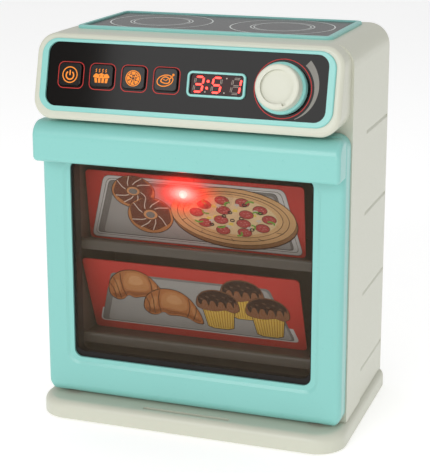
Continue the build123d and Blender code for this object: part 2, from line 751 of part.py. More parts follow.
with BuildPart() as handle:
    with BuildSketch(Plane.YZ.offset(-DOOR_HALF)):
        with BuildLine():
            root = DOOR_Y + 1
            nose = DOOR_Y - HANDLE_REACH
            top = DOOR_TOP - 0.5
            Line((root, HANDLE_LOW), (nose + LIP_R, HANDLE_LOW))
            TangentArc(
                (nose + LIP_R, HANDLE_LOW), (nose, HANDLE_LOW + LIP_R), tangent=(-1, 0)
            )
            Line((nose, HANDLE_LOW + LIP_R), (nose, top - CROWN_R))
            TangentArc((nose, top - CROWN_R), (nose + CROWN_R, top), tangent=(0, 1))
            Polyline((nose + CROWN_R, top), (root, top), (root, HANDLE_LOW))
        make_face()
    extrude(amount=2 * DOOR_HALF)
    for end in (0, -1):
        rim = handle.faces().sort_by(Axis.X)[end].outer_wire().edges()
        fillet(rim.filter_by(lambda edge: edge.center().Y < DOOR_Y), END_R)

with BuildPart() as door_frame:
    with BuildSketch(front_plane(DOOR_Y)):
        rounded_at(0, door_mid, 2 * DOOR_HALF, DOOR_TOP - DOOR_BOTTOM, DOOR_CORNER)
    extrude(amount=-DOOR_THICK)
    front_edges = door_frame.edges().filter_by(Axis.Z).group_by(Axis.Y)[0]
    fillet(front_edges, DOOR_EDGE_R)
    add(handle.part)
    # finger channel on the underside of the handle
    with BuildSketch(Plane.XY.offset(HANDLE_LOW)):
        with Locations((0, DOOR_Y - HANDLE_REACH / 2 + GRIP_WALL / 2 - 0.6)):
            Rectangle(2 * (DOOR_HALF - 7), HANDLE_REACH - GRIP_WALL - 1.2)
    extrude(amount=11.0, mode=Mode.SUBTRACT)
    # window opening with a shallow bevelled frame round it
    with BuildSketch(front_plane(DOOR_Y)):
        rounded_at(0, window_mid, 2 * WINDOW_HALF, window_tall, WINDOW_CORNER)
    extrude(amount=-DOOR_THICK, mode=Mode.SUBTRACT)
    with BuildSketch(front_plane(DOOR_Y)):
        rounded_at(0, window_mid - 2.0, 2 * WINDOW_HALF + 9.0, window_tall + 5.0, 8.0)
    extrude(amount=-0.8, taper=66, mode=Mode.SUBTRACT)
    # seat of the pane from behind
    with BuildSketch(front_plane(DOOR_Y + DOOR_THICK)):
        rounded_at(0, window_mid, 2 * WINDOW_HALF + 8, window_tall + 8, WINDOW_CORNER)
    extrude(amount=DOOR_THICK - PANE_SET, mode=Mode.SUBTRACT)
    # the moulding is hollow behind the handle
    with BuildSketch(front_plane(DOOR_Y + DOOR_THICK)):
        for side in (-1, 1):
            rounded_at(side * 48.0, DOOR_TOP - 10.0, 74.0, 14.0, 2.0)
    extrude(amount=DOOR_THICK - 2.0, mode=Mode.SUBTRACT)
    # round the bottom edge about the hinge axis
    quarter = DOOR_THICK / 4
    for way in (-1, 1):
        with BuildSketch(Plane.YZ.offset(-DOOR_HALF)):
            with Locations((HINGE_Y + way * quarter, DOOR_BOTTOM + quarter)):
                Rectangle(2 * quarter, 2 * quarter)
            with Locations((HINGE_Y, HINGE_Z)):
                Circle(DOOR_THICK / 2 - 0.03, mode=Mode.SUBTRACT)
        extrude(amount=2 * DOOR_HALF, mode=Mode.SUBTRACT)
    # pockets for the hinge ears, and the pin holes
    for side in (-1, 1):
        pocket_y = (DOOR_Y + POCKET_SKIN + DOOR_Y + DOOR_THICK) / 2
        with Locations((side * HINGE_X, pocket_y, HINGE_Z - 1.0)):
            Box(
                2 * EAR_HALF + 1.0,
                DOOR_THICK - POCKET_SKIN,
                2 * (EAR_R + 0.5) + 6.0,
                mode=Mode.SUBTRACT,
            )
        with BuildSketch(Plane.YZ.offset(side * HINGE_X - 9.0)):
            with Locations((HINGE_Y, HINGE_Z)):
                Circle(PIN_R)
        extrude(amount=18.0, mode=Mode.SUBTRACT)
keep(door_frame, "door_frame")

with BuildPart() as pane:
    with BuildSketch(front_plane(DOOR_Y + PANE_SET)):
        rounded_at(0, window_mid, 2 * WINDOW_HALF + 8, window_tall + 8, WINDOW_CORNER)
    extrude(amount=-PANE_THICK)
keep(pane, "door_window")

with BuildPart() as retainer:
    with BuildSketch(front_plane(DOOR_Y + PANE_SET + PANE_THICK)):
        rounded_at(0, window_mid, 2 * WINDOW_HALF + 8, window_tall + 8, WINDOW_CORNER)
        with Locations((0, window_mid)):
            RectangleRounded(
                2 * WINDOW_HALF - 2, window_tall - 2, WINDOW_CORNER - 1, mode=Mode.SUBTRACT
            )
    extrude(amount=-(DOOR_THICK - PANE_SET - PANE_THICK))
keep(retainer, "door_inner_frame")

with BuildPart() as pins:
    for side in (-1, 1):
        with BuildSketch(Plane.YZ.offset(side * HINGE_X - 9.0)):
            with Locations((HINGE_Y, HINGE_Z)):
                Circle(PIN_R)
        extrude(amount=18.0)
keep(pins, "door_hinge_pins")

with BuildPart() as striker:
    with Locations((0, DOOR_Y + DOOR_THICK + 2.5, CATCH_Z)):
        Box(STRIKER[0], 5.0, STRIKER[1])
    tongue_edges = striker.edges().filter_by(Axis.X).group_by(Axis.Y)[-1]
    fillet(tongue_edges, 0.8)
keep(striker, "door_striker")

# spring clip that holds the striker, resting on the wall beside its slot
CLIP_HALF = 10.0
with BuildPart() as clip:
    with BuildSketch(Plane.YZ.offset(-CLIP_HALF)):
        clip_front = SHELL_Y + WALL
        for way in (-1, 1):
            with Locations((clip_front + 3.0, CATCH_Z + way * (STRIKER[1] / 2 + 1.1))):
                Rectangle(6.0, 0.8)
        with Locations((clip_front + 6.4, CATCH_Z)):
            Rectangle(0.8, STRIKER[1] + 3.0)
    extrude(amount=2 * CLIP_HALF)
keep(clip, "door_catch")

for piece in pieces:
    export_step(piece, "parts/" + piece.label + ".step")
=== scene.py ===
"""Looks of the toy oven: moulded plastics, printed graphics, smoked pane and studio light."""
import json
import math

import bpy
from mathutils import Matrix, Vector


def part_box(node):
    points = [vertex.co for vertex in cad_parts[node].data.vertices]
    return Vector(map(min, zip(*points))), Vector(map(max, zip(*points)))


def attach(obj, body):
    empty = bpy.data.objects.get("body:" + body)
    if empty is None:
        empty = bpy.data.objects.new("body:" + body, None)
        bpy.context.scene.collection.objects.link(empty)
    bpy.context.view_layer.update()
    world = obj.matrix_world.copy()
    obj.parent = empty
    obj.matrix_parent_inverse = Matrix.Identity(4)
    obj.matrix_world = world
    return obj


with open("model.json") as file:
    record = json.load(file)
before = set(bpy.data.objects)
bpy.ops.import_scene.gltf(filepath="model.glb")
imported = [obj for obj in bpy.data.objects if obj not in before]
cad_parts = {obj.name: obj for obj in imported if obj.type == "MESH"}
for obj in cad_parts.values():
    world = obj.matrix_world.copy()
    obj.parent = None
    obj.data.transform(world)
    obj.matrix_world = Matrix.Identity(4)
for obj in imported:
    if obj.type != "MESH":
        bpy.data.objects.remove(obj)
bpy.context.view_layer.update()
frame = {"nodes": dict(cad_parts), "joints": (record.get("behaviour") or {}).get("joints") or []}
MM = 0.001
NODES = frame["nodes"]
JOINTS = {j["name"]: j for j in frame["joints"]}
scene = bpy.context.scene

# ---- places read from the frame ------------------------------------------------
pane_lo, pane_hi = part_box("door_window")


class Basis:
    """A flat drawing plane: millimetres along u and v, raised along the normal."""

    def __init__(self, origin, u, v):
        self.o, self.u, self.v = Vector(origin), Vector(u).normalized(), Vector(v).normalized()
        self.n = self.u.cross(self.v)

    def at(self, a, b, h=0.0):
        return self.o + (self.u * a + self.v * b + self.n * h) * MM

    def matrix(self):
        m = Matrix((self.u, self.v, self.n)).transposed().to_4x4()
        m.translation = self.o
        return m @ Matrix.Scale(MM, 4)


dial = JOINTS["dial_turn"]
dial_n = Vector(dial["axis"])
panel_up = dial_n.cross(Vector((1, 0, 0)))
panel_origin = Vector(dial["pos_m"])
KNOB_U = panel_origin.x / MM
panel_origin.x = 0.0
PANEL = Basis(panel_origin, (1, 0, 0), panel_up)
plate_lo, plate_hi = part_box("hob_plate")
HOB = Basis(
    (0, (plate_lo.y + plate_hi.y) / 2, plate_hi.z), (1, 0, 0), (0, 1, 0)
)
PANE = Basis((0, pane_lo.y, (pane_lo.z + pane_hi.z) / 2), (1, 0, 0), (0, 0, 1))


CARD_THICK = 0.8


def card_basis(node, length):
    """The printed face of a leaning card, from its box: foot behind, head in front."""
    lo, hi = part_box(node)
    lean = math.asin(min(1.0, ((hi.y - lo.y) / MM - CARD_THICK) / length))
    foot = Vector(((lo.x + hi.x) / 2, hi.y - CARD_THICK * MM * math.cos(lean), lo.z))
    foot.z += CARD_THICK * MM * math.sin(lean)
    return Basis(foot, (1, 0, 0), (0, -math.sin(lean), math.cos(lean)))


CARD_LONG = {"upper_food_card": 44.3, "lower_food_card": 53.5}
UPPER = card_basis("upper_food_card", CARD_LONG["upper_food_card"])
LOWER = card_basis("lower_food_card", CARD_LONG["lower_food_card"])
bulb_lo, bulb_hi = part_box("oven_light")
BULB = Vector(((bulb_lo.x + bulb_hi.x) / 2, bulb_lo.y, (bulb_lo.z + bulb_hi.z) / 2))


# ---- materials -----------------------------------------------------------------
def principled(name):
    mat = bpy.data.materials.new(name)
    mat.use_nodes = True
    return mat, mat.node_tree, mat.node_tree.nodes["Principled BSDF"]


def noise(tree, scale, detail=3.0):
    coords = tree.nodes.new("ShaderNodeTexCoord")
    tex = tree.nodes.new("ShaderNodeTexNoise")
    tex.inputs["Scale"].default_value = scale
    tex.inputs["Detail"].default_value = detail
    tree.links.new(coords.outputs["Object"], tex.inputs["Vector"])
    return tex


def ramp(tree, source, low, high):
    node = tree.nodes.new("ShaderNodeMapRange")
    node.inputs["To Min"].default_value = low
    node.inputs["To Max"].default_value = high
    node.inputs["From Min"].default_value = 0.3
    node.inputs["From Max"].default_value = 0.7
    tree.links.new(source, node.inputs["Value"])
    return node.outputs["Result"]


def moulded(name, colour, rough=0.35, vary=0.05, grain=900.0, bump=0.06, coat=0.0, big=14.0,
            gloss=0.5):
    """Injection-moulded plastic: slight colour drift, fine skin and a soft orange-peel."""
    mat, tree, shader = principled(name)
    drift = noise(tree, big)
    mix = tree.nodes.new("ShaderNodeMix")
    mix.data_type = "RGBA"
    mix.inputs["A"].default_value = (*[c * (1 - vary) for c in colour], 1)
    mix.inputs["B"].default_value = (*[min(1, c * (1 + vary)) for c in colour], 1)
    tree.links.new(drift.outputs["Fac"], mix.inputs["Factor"])
    tree.links.new(mix.outputs["Result"], shader.inputs["Base Color"])
    fine = noise(tree, grain, 2.0)
    tree.links.new(ramp(tree, fine.outputs["Fac"], rough * 0.85, rough * 1.15),
                   shader.inputs["Roughness"])
    relief = tree.nodes.new("ShaderNodeBump")
    relief.inputs["Strength"].default_value = bump
    relief.inputs["Distance"].default_value = 0.0003
    tree.links.new(fine.outputs["Fac"], relief.inputs["Height"])
    tree.links.new(relief.outputs["Normal"], shader.inputs["Normal"])
    shader.inputs["Specular IOR Level"].default_value = gloss
    shader.inputs["Coat Weight"].default_value = coat
    shader.inputs["Coat Roughness"].default_value = 0.08
    return mat


def glowing(name, colour, strength):
    mat, tree, shader = principled(name)
    shader.inputs["Base Color"].default_value = (*colour, 1)
    shader.inputs["Emission Color"].default_value = (*colour, 1)
    shader.inputs["Emission Strength"].default_value = strength
    shader.inputs["Roughness"].default_value = 0.35
    return mat


def smoked():
    """Tinted see-through pane: mostly open, a little brown."""
    mat, tree, shader = principled("smoked_pane")
    tint = noise(tree, 6.0)
    mix = tree.nodes.new("ShaderNodeMix")
    mix.data_type = "RGBA"
    mix.inputs["A"].default_value = (0.070, 0.050, 0.030, 1)
    mix.inputs["B"].default_value = (0.085, 0.062, 0.038, 1)
    tree.links.new(tint.outputs["Fac"], mix.inputs["Factor"])
    tree.links.new(mix.outputs["Result"], shader.inputs["Base Color"])
    shader.inputs["Roughness"].default_value = 0.06
    shader.inputs["Specular IOR Level"].default_value = 0.22
    shader.inputs["Alpha"].default_value = 0.17
    return mat


def halo():
    """Soft red light round the bulb on the card: wide, pale in the middle, gone at its rim."""
    mat, tree, shader = principled("red_glow")
    coords = tree.nodes.new("ShaderNodeTexCoord")
    away = tree.nodes.new("ShaderNodeVectorMath")
    away.operation = "SUBTRACT"
    tree.links.new(coords.outputs["Object"], away.inputs[0])
    away.inputs[1].default_value = BULB
    flat = tree.nodes.new("ShaderNodeVectorMath")
    flat.operation = "MULTIPLY"
    tree.links.new(away.outputs["Vector"], flat.inputs[0])
    flat.inputs[1].default_value = (0.72, 1.0, 1.35)
    size = tree.nodes.new("ShaderNodeVectorMath")
    size.operation = "LENGTH"
    tree.links.new(flat.outputs["Vector"], size.inputs[0])

    def fall(reach, start, end, power):
        span = tree.nodes.new("ShaderNodeMapRange")
        span.inputs["From Max"].default_value = reach * MM
        span.inputs["To Min"].default_value = start
        span.inputs["To Max"].default_value = end
        tree.links.new(size.outputs["Value"], span.inputs["Value"])
        bend = tree.nodes.new("ShaderNodeMath")
        bend.operation = "POWER"
        bend.inputs[1].default_value = power
        tree.links.new(span.outputs["Result"], bend.inputs[0])
        return bend.outputs["Value"]

    tree.links.new(fall(20.5, 0.95, 0.0, 2.0), shader.inputs["Alpha"])
    mix = tree.nodes.new("ShaderNodeMix")
    mix.data_type = "RGBA"
    mix.inputs["A"].default_value = (1.0, 0.05, 0.035, 1)
    mix.inputs["B"].default_value = (1.0, 0.78, 0.74, 1)
    tree.links.new(fall(10.0, 1.0, 0.0, 1.5), mix.inputs["Factor"])
    tree.links.new(mix.outputs["Result"], shader.inputs["Emission Color"])
    tree.links.new(mix.outputs["Result"], shader.inputs["Base Color"])
    shader.inputs["Emission Strength"].default_value = 0.85
    shader.inputs["Specular IOR Level"].default_value = 0.0
    return mat


CREAM = moulded("cream_plastic", (0.595, 0.60, 0.50), rough=0.36, vary=0.02, coat=0.15, gloss=0.4)
TEAL = moulded("turquoise_plastic", (0.235, 0.560, 0.515), rough=0.32, vary=0.03, coat=0.2,
               gloss=0.4)
BLACK = moulded("panel_black", (0.005, 0.004, 0.0035), rough=0.09, vary=0.15, bump=0.0, gloss=0.13)
BUTTON = moulded("button_black", (0.006, 0.005, 0.0045), rough=0.14, vary=0.2, bump=0.0, gloss=0.20)
HOBGLASS = moulded("hob_dark_grey", (0.042, 0.042, 0.043), rough=0.22, vary=0.08, bump=0.0,
                   gloss=0.14)
LINER = moulded("liner_brown_grey", (0.150, 0.126, 0.096), rough=0.55, vary=0.10, bump=0.02)
SHELF = moulded("shelf_grey", (0.095, 0.080, 0.062), rough=0.34, vary=0.06, bump=0.0)
RUBBER = moulded("rubber", (0.02, 0.02, 0.02), rough=0.7, vary=0.2, bump=0.25)
GREYRUBBER = moulded("rubber_grey", (0.32, 0.32, 0.31), rough=0.7, vary=0.06)
STEEL = moulded("steel", (0.55, 0.55, 0.56), rough=0.28, vary=0.06)
STEEL.node_tree.nodes["Principled BSDF"].inputs["Metallic"].default_value = 1.0
DARK = moulded("dark_plastic", (0.025, 0.025, 0.025), rough=0.5, vary=0.15)
BOARD = moulded("board_green", (0.02, 0.12, 0.05), rough=0.4, vary=0.15)
CELL = moulded("cell_jacket", (0.10, 0.12, 0.18), rough=0.3, vary=0.1, coat=0.4)
CARD = moulded("card_red", (0.62, 0.045, 0.034), rough=0.5, vary=0.06, bump=0.0, gloss=0.3)
SMOKED = smoked()
LED = glowing("bulb_lit", (1.0, 0.48, 0.45), 1.6)
WINDOWRED = moulded("display_dark", (0.030, 0.008, 0.008), rough=0.10, vary=0.1, gloss=0.12)


def ink(name, colour, rough=0.45, vary=0.10, big=180.0):
    return moulded("ink_" + name, colour, rough=rough, vary=vary, bump=0.0, big=big, gloss=0.2)


INK = {
    "red": ink("red", (0.55, 0.035, 0.03)),
    "orange": ink("orange", (0.95, 0.28, 0.03), vary=0.04),
    "pale": ink("pale", (0.50, 0.42, 0.36), vary=0.04),
    "ring": ink("ring_grey", (0.66, 0.69, 0.67), vary=0.05),
    "mark": ink("mark_grey", (0.25, 0.235, 0.21), vary=0.04),
    "tray": ink("tray_grey", (0.42, 0.40, 0.37), vary=0.10, big=60.0),
    "tray_edge": ink("tray_edge", (0.70, 0.67, 0.63), vary=0.05),
    "tray_wall": ink("tray_wall", (0.24, 0.22, 0.20), vary=0.10),
    "tray_line": ink("tray_line", (0.13, 0.115, 0.10)),
    "line": ink("line_brown", (0.060, 0.020, 0.010)),
    "bake": ink("bake_brown", (0.36, 0.115, 0.035), vary=0.15),
    "dough": ink("dough", (0.52, 0.185, 0.060), vary=0.16),
    "dough_lit": ink("dough_lit", (0.63, 0.265, 0.095), vary=0.12),
    "shine": ink("dough_shine", (0.74, 0.36, 0.15), vary=0.08),
    "crust": ink("crust", (0.78, 0.47, 0.21), vary=0.16),
    "board": ink("board_wood", (0.74, 0.43, 0.19), vary=0.18, big=90.0),
    "board_side": ink("board_side", (0.36, 0.17, 0.07), vary=0.18),
    "cheese": ink("cheese", (0.84, 0.60, 0.33), vary=0.14),
    "fruit": ink("pineapple", (0.86, 0.64, 0.12), vary=0.12),
    "salami": ink("salami", (0.50, 0.070, 0.065), vary=0.22, big=900.0),
    "salami_fat": ink("salami_fat", (0.72, 0.26, 0.22)),
    "green": ink("pepper_green", (0.20, 0.42, 0.06), vary=0.2),
    "olive": ink("olive_black", (0.015, 0.015, 0.012)),
    "cream": ink("mushroom", (0.66, 0.60, 0.50), vary=0.08),
    "glaze": ink("glaze", (0.20, 0.062, 0.034), vary=0.20),
    "drizzle": ink("drizzle", (0.80, 0.68, 0.56), vary=0.05),
    "cake": ink("cake_brown", (0.30, 0.125, 0.060), vary=0.20),
    "choc": ink("chocolate", (0.050, 0.022, 0.014), vary=0.25),
    "choc_lit": ink("chocolate_lit", (0.19, 0.10, 0.07), vary=0.2),
    "cup": ink("cup_yellow", (0.86, 0.55, 0.10), vary=0.08),
    "cup_dark": ink("cup_fold", (0.50, 0.25, 0.035), vary=0.10),
    "black": ink("edge_black", (0.012, 0.010, 0.009)),
}
LIT = glowing("digit_lit", (1.0, 0.03, 0.02), 4.5)

NODE_LOOK = {
    CREAM: ["base_plinth", "front_shell", "rear_cover", "control_hood", "knob_cap", "battery_lid"],
    TEAL: ["control_bezel", "display_bezel", "hob_frame", "door_frame", "knob_skirt",
           "door_striker"],
    BLACK: ["control_panel"],
    BUTTON: ["button_power", "button_cake", "button_pizza", "button_roast"],
    HOBGLASS: ["hob_plate"],
    LINER: ["oven_liner"],
    SHELF: ["lower_shelf", "upper_shelf"],
    CARD: ["lower_food_card", "upper_food_card"],
    SMOKED: ["door_window"],
    RUBBER: ["rubber_feet"],
    GREYRUBBER: ["rubber_keypad"],
    STEEL: ["rear_screws", "battery_lid_screw", "door_hinge_pins", "knob_shaft",
            "battery_contacts", "door_catch"],
    DARK: ["door_inner_frame", "dial_encoder", "display_module", "speaker", "battery_box",
           "light_post"],
    BOARD: ["circuit_board"],
    CELL: ["batteries"],
    LED: ["oven_light"],
    WINDOWRED: ["display_window"],
}
for material, names in NODE_LOOK.items():
    for name in names:
        slots = NODES[name].data.materials
        slots.clear()
        slots.append(material)


# ---- flat shapes ---------------------------------------------------------------
def oval(cx, cy, rx, ry=None, turn=0.0, steps=40, start=0.0, sweep=360.0):
    ry = rx if ry is None else ry
    t = math.radians(turn)
    out = []
    count = steps if sweep >= 360 else steps + 1
    for i in range(count):
        a = math.radians(start + sweep * i / steps)
        x, y = rx * math.cos(a), ry * math.sin(a)
        out.append((cx + x * math.cos(t) - y * math.sin(t), cy + x * math.sin(t) + y * math.cos(t)))
    return out


def ring(cx, cy, radius, width, ry=None, turn=0.0):
    ry = radius if ry is None else ry
    inner = oval(cx, cy, radius - width, ry - width, turn)
    return [oval(cx, cy, radius, ry, turn), inner[::-1]]


def rounded(cx, cy, w, h, r, steps=6):
    out = []
    for sx, sy, start in ((1, 1, 0), (-1, 1, 90), (-1, -1, 180), (1, -1, 270)):
        mx, my = cx + sx * (w / 2 - r), cy + sy * (h / 2 - r)
        for i in range(steps + 1):
            a = math.radians(start + 90 * i / steps)
            out.append((mx + r * math.cos(a), my + r * math.sin(a)))
    return out


def border(cx, cy, w, h, r, width):
    inner = rounded(cx, cy, w - 2 * width, h - 2 * width, max(0.05, r - width))
    return [rounded(cx, cy, w, h, r), inner[::-1]]


def stroke(points, width):
    """Outline of a drawn line with even width."""
    pts = [Vector(p) for p in points]
    left, right = [], []
    for i, p in enumerate(pts):
        ahead = pts[min(i + 1, len(pts) - 1)] - pts[max(i - 1, 0)]
        side = Vector((-ahead.y, ahead.x)).normalized() * width / 2
        left.append(tuple(p + side))
        right.append(tuple(p - side))
    return [left + right[::-1]]


def crescent(cx, cy, r_in, start, sweep, w0, w1, steps=36):
    """Arc scale that widens from w0 to w1 along its sweep."""
    outer, inner = [], []
    for i in range(steps + 1):
        k = i / steps
        a = math.radians(start + sweep * k)
        width = w0 + (w1 - w0) * k
        inner.append((cx + r_in * math.cos(a), cy + r_in * math.sin(a)))
        outer.append((cx + (r_in + width) * math.cos(a), cy + (r_in + width) * math.sin(a)))
    return [outer + inner[::-1]]


def smooth(points, steps=6):
    """Closed outline through the points, rounded by a Catmull-Rom curve."""
    n, out = len(points), []
    for i in range(n):
        a, b, c, d = (Vector(points[(i + k) % n]) for k in (-1, 0, 1, 2))
        for s in range(steps):
            t = s / steps
            out.append(tuple(0.5 * (2 * b + (c - a) * t + (2 * a - 5 * b + 4 * c - d) * t * t
                                    + (3 * b - a - 3 * c + d) * t**3)))
    return out


def printed(name, basis, body, shapes, lift=0.05, layer=0.03, thick=0.03):
    """One object from many flat inked shapes, each (loops, layer number, material)."""
    materials, parts = [], []
    for loops, level, material in shapes:
        curve = bpy.data.curves.new("outline", "CURVE")
        curve.dimensions, curve.fill_mode, curve.extrude = "2D", "BOTH", thick / 2
        for loop in loops:
            spline = curve.splines.new("POLY")
            spline.points.add(len(loop) - 1)
            for point, (x, y) in zip(spline.points, loop):
                point.co = (x, y, 0, 1)
            spline.use_cyclic_u = True
        temp = bpy.data.objects.new("outline", curve)
        mesh = bpy.data.meshes.new_from_object(temp)
        height = lift + thick / 2 + layer * level
        mesh.transform(basis.matrix() @ Matrix.Translation((0, 0, height)))
        if material not in materials:
            materials.append(material)
        for face in mesh.polygons:
            face.material_index = materials.index(material)
        parts.append(mesh)
        bpy.data.objects.remove(temp)
        bpy.data.curves.remove(curve)
    verts, faces, marks = [], [], []
    for mesh in parts:
        base = len(verts)
        verts += [v.co[:] for v in mesh.vertices]
        faces += [[base + i for i in f.vertices] for f in mesh.polygons]
        marks += [f.material_index for f in mesh.polygons]
        bpy.data.meshes.remove(mesh)
    joined = bpy.data.meshes.new(name)
    joined.from_pydata(verts, [], faces)
    for material in materials:
        joined.materials.append(material)
    joined.polygons.foreach_set("material_index", marks)
    joined.update()
    piece = bpy.data.objects.new(name, joined)
    scene.collection.objects.link(piece)
    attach(piece, body)
    return piece


# ---- hob rings -----------------------------------------------------------------
HOB_RING_X = 37.6
HOB_RINGS = ((31.0, 0.85), (19.0, 0.75), (17.0, 0.75))      # radius and width


def hob_prints():
    shapes = []
    for side in (-1, 1):
        for radius, width in HOB_RINGS:
            shapes.append((ring(side * HOB_RING_X, 0, radius, width), 0, INK["ring"]))
    printed("hob_rings", HOB, "case", shapes)


# ---- control panel -------------------------------------------------------------
BUTTON_NAMES = ("power", "cake", "pizza", "roast")
BUTTON_PROUD = 1.5
BUTTON_RING = (16.0, 15.2, 3.5, 0.42)       # width, height, corner and line
DIAL_RING = (16.3, 0.45)                    # radius and line
DIAL_SCALE = (17.6, -64, 112, 0.3, 4.0)     # radius, start, sweep, first and last width
LINE_LIFT = 0.02


def button_centre(name):
    lo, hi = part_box("button_" + name)
    middle = (lo + hi) / 2 - PANEL.o
    return middle.dot(PANEL.u) / MM, middle.dot(PANEL.v) / MM


def icon_power():
    arc = oval(0, -0.3, 2.3, 2.3, start=125, sweep=290, steps=30)
    return [(ring(0, 0, 4.7, 0.6), 0), (stroke(arc, 0.8), 0),
            (stroke([(0, -0.3), (0, 2.7)], 0.8), 0)]


def icon_cake():
    out = [([smooth([(-4.7, -0.9), (-4.9, 0.8), (-3.6, 1.8), (-1.9, 1.3), (0, 2.1), (1.9, 1.3),
                     (3.6, 1.8), (4.9, 0.8), (4.7, -0.9)], 3)], 0)]
    for x in (-3.3, -1.1, 1.1, 3.3):
        out.append(([[(x * 1.15 - 0.85, -1.2), (x * 1.15 + 0.85, -1.2), (x + 0.8, -4.0),
                      (x - 0.8, -4.0)]], 0))
        out.append((stroke([(x - 0.7, 2.6), (x - 0.1, 3.3), (x - 0.7, 4.0), (x, 4.7)], 0.5), 0))
    for x in (-1.2, 1.3):
        out.append((stroke([(x, -0.2), (x + 0.3, 0.9)], 0.35), 1))
    return out


def icon_pizza():
    out = [([oval(0, 0, 4.6, 4.5)], 0), (ring(0, 0, 4.0, 0.3), 1)]
    for turn in (20, 65, 110, 155):
        a = math.radians(turn)
        x, y = 3.7 * math.cos(a), 3.7 * math.sin(a)
        out.append((stroke([(-x, -y), (x, y)], 0.32), 1))
    for k in range(9):
        a = math.radians(40 * k + 5)
        r = 2.7 if k % 2 else 1.7
        out.append(([oval(r * math.cos(a), r * math.sin(a), 0.42, steps=12)], 1))
    return out


def icon_roast():
    bird = [(-3.0, -0.8), (-2.2, 1.2), (-0.2, 2.2), (1.9, 1.5), (2.9, -0.2), (2.0, -1.7),
            (-0.6, -1.9)]
    return [([oval(-0.3, -0.2, 5.0, 3.3, 14), oval(-0.3, -0.2, 4.45, 2.75, 14)[::-1]], 0),
            ([smooth(bird), smooth([(x * 0.76, y * 0.72 + 0.02) for x, y in bird])[::-1]], 0),
            (stroke([(-1.4, 0.5), (0.2, -0.2), (1.4, 0.7)], 0.45), 0),
            (stroke([(2.6, 0.9), (4.2, 2.9)], 0.7), 0), ([oval(4.4, 3.2, 0.7, steps=12)], 0)]


def button_prints():
    icons = {"power": icon_power, "cake": icon_cake, "pizza": icon_pizza, "roast": icon_roast}
    rings = []
    for name in BUTTON_NAMES:
        u, v = button_centre(name)
        rings.append((border(u, v, *BUTTON_RING), 0, INK["red"]))
        face = Basis(PANEL.at(u, v, BUTTON_PROUD), PANEL.u, PANEL.v)
        scale = 0.9 if name == "cake" else 1.0
        shapes = [([[(x * scale, y * scale) for x, y in loop] for loop in loops], over,
                   BUTTON if over else INK["orange"]) for loops, over in icons[name]()]
        printed("icon_" + name, face, "button_" + name, shapes,
                lift=LINE_LIFT)
    # ring round the dial and the scale that widens along the dial's turn
    rings.append((ring(KNOB_U, 0, *DIAL_RING), 0, INK["red"]))
    rings.append((crescent(KNOB_U, 0, *DIAL_SCALE), 0, INK["mark"]))
    printed("panel_prints", PANEL, "case", rings, lift=LINE_LIFT)


SEGMENTS = {
    "a": (0, 1, "h"), "b": (1, 0.5, "v"), "c": (1, -0.5, "v"), "d": (0, -1, "h"),
    "e": (-1, -0.5, "v"), "f": (-1, 0.5, "v"), "g": (0, 0, "h"),
}
DIGITS = {"3": "abcdg", "5": "acdfg", "1": "bc"}


def display_prints():
    lo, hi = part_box("display_window")
    middle = (lo + hi) / 2 - PANEL.o
    u0, v0 = middle.dot(PANEL.u) / MM, middle.dot(PANEL.v) / MM
    half_w, half_h, slant = 2.35, 4.1, 0.13
    shapes = []

    def segment(cx, key, width):
        x, y, way = SEGMENTS[key]
        x, y = x * half_w, y * half_h
        reach = (half_w if way == "h" else half_h / 2) - 0.38
        t = width / 2
        if way == "h":
            pts = [(x - reach, y), (x - reach + t, y + t), (x + reach - t, y + t),
                   (x + reach, y), (x + reach - t, y - t), (x - reach + t, y - t)]
        else:
            pts = [(x, y - reach), (x - t, y - reach + t), (x - t, y + reach - t),
                   (x, y + reach), (x + t, y + reach - t), (x + t, y - reach + t)]
        return [[(cx + px + slant * py, v0 + py) for px, py in pts]]

    for cx, digit in zip((u0 - 10.6, u0 - 0.2, u0 + 11.0), "351"):
        for key in SEGMENTS:
            lit = key in DIGITS[digit]
            shapes.append((segment(cx, key, 1.05), 0, LIT if lit else INK["pale"]))
            if not lit:
                shapes.append((segment(cx, key, 0.55), 1, WINDOWRED))
    for y in (-1.9, 1.9):
        shapes.append(([oval(u0 - 5.5 + slant * y, v0 + y, 0.72, steps=16)], 0, LIT))
    for x, y in ((-6.6, -4.0), (4.4, -4.0), (5.4, 4.0)):
        shapes.append(([oval(u0 + x, v0 + y, 0.42, steps=12)], 0, INK["pale"]))
    printed("display_digits", PANEL, "case", shapes, lift=-0.38)


# ---- window edge ---------------------------------------------------------------
def window_prints():
    """Thin black edge inside the door's opening, deeper along the bottom."""
    half_w = (pane_hi.x - pane_lo.x) / 2 / MM - 4.0
    half_h = (pane_hi.z - pane_lo.z) / 2 / MM - 4.0
    outer = rounded(0, 0, 2 * half_w + 3, 2 * half_h + 3, 5.5)
    inner = rounded(0, 1.4, 2 * half_w - 1.8, 2 * half_h - 4.4, 5.0)
    printed("window_edge", PANE, "door", [([outer, inner[::-1]], 0, INK["black"])],
            lift=0.02)


# ---- food cards ----------------------------------------------------------------
def soft(points, r, steps=5):
    """Closed polygon with its corners rounded off."""
    out, n = [], len(points)
    for i in range(n):
        a, p, b = (Vector(points[(i + k) % n]) for k in (-1, 0, 1))
        start, end = p + (a - p).normalized() * r, p + (b - p).normalized() * r
        for k in range(steps + 1):
            t = k / steps
            out.append(tuple(start * (1 - t) ** 2 + p * 2 * t * (1 - t) + end * t**2))
    return out


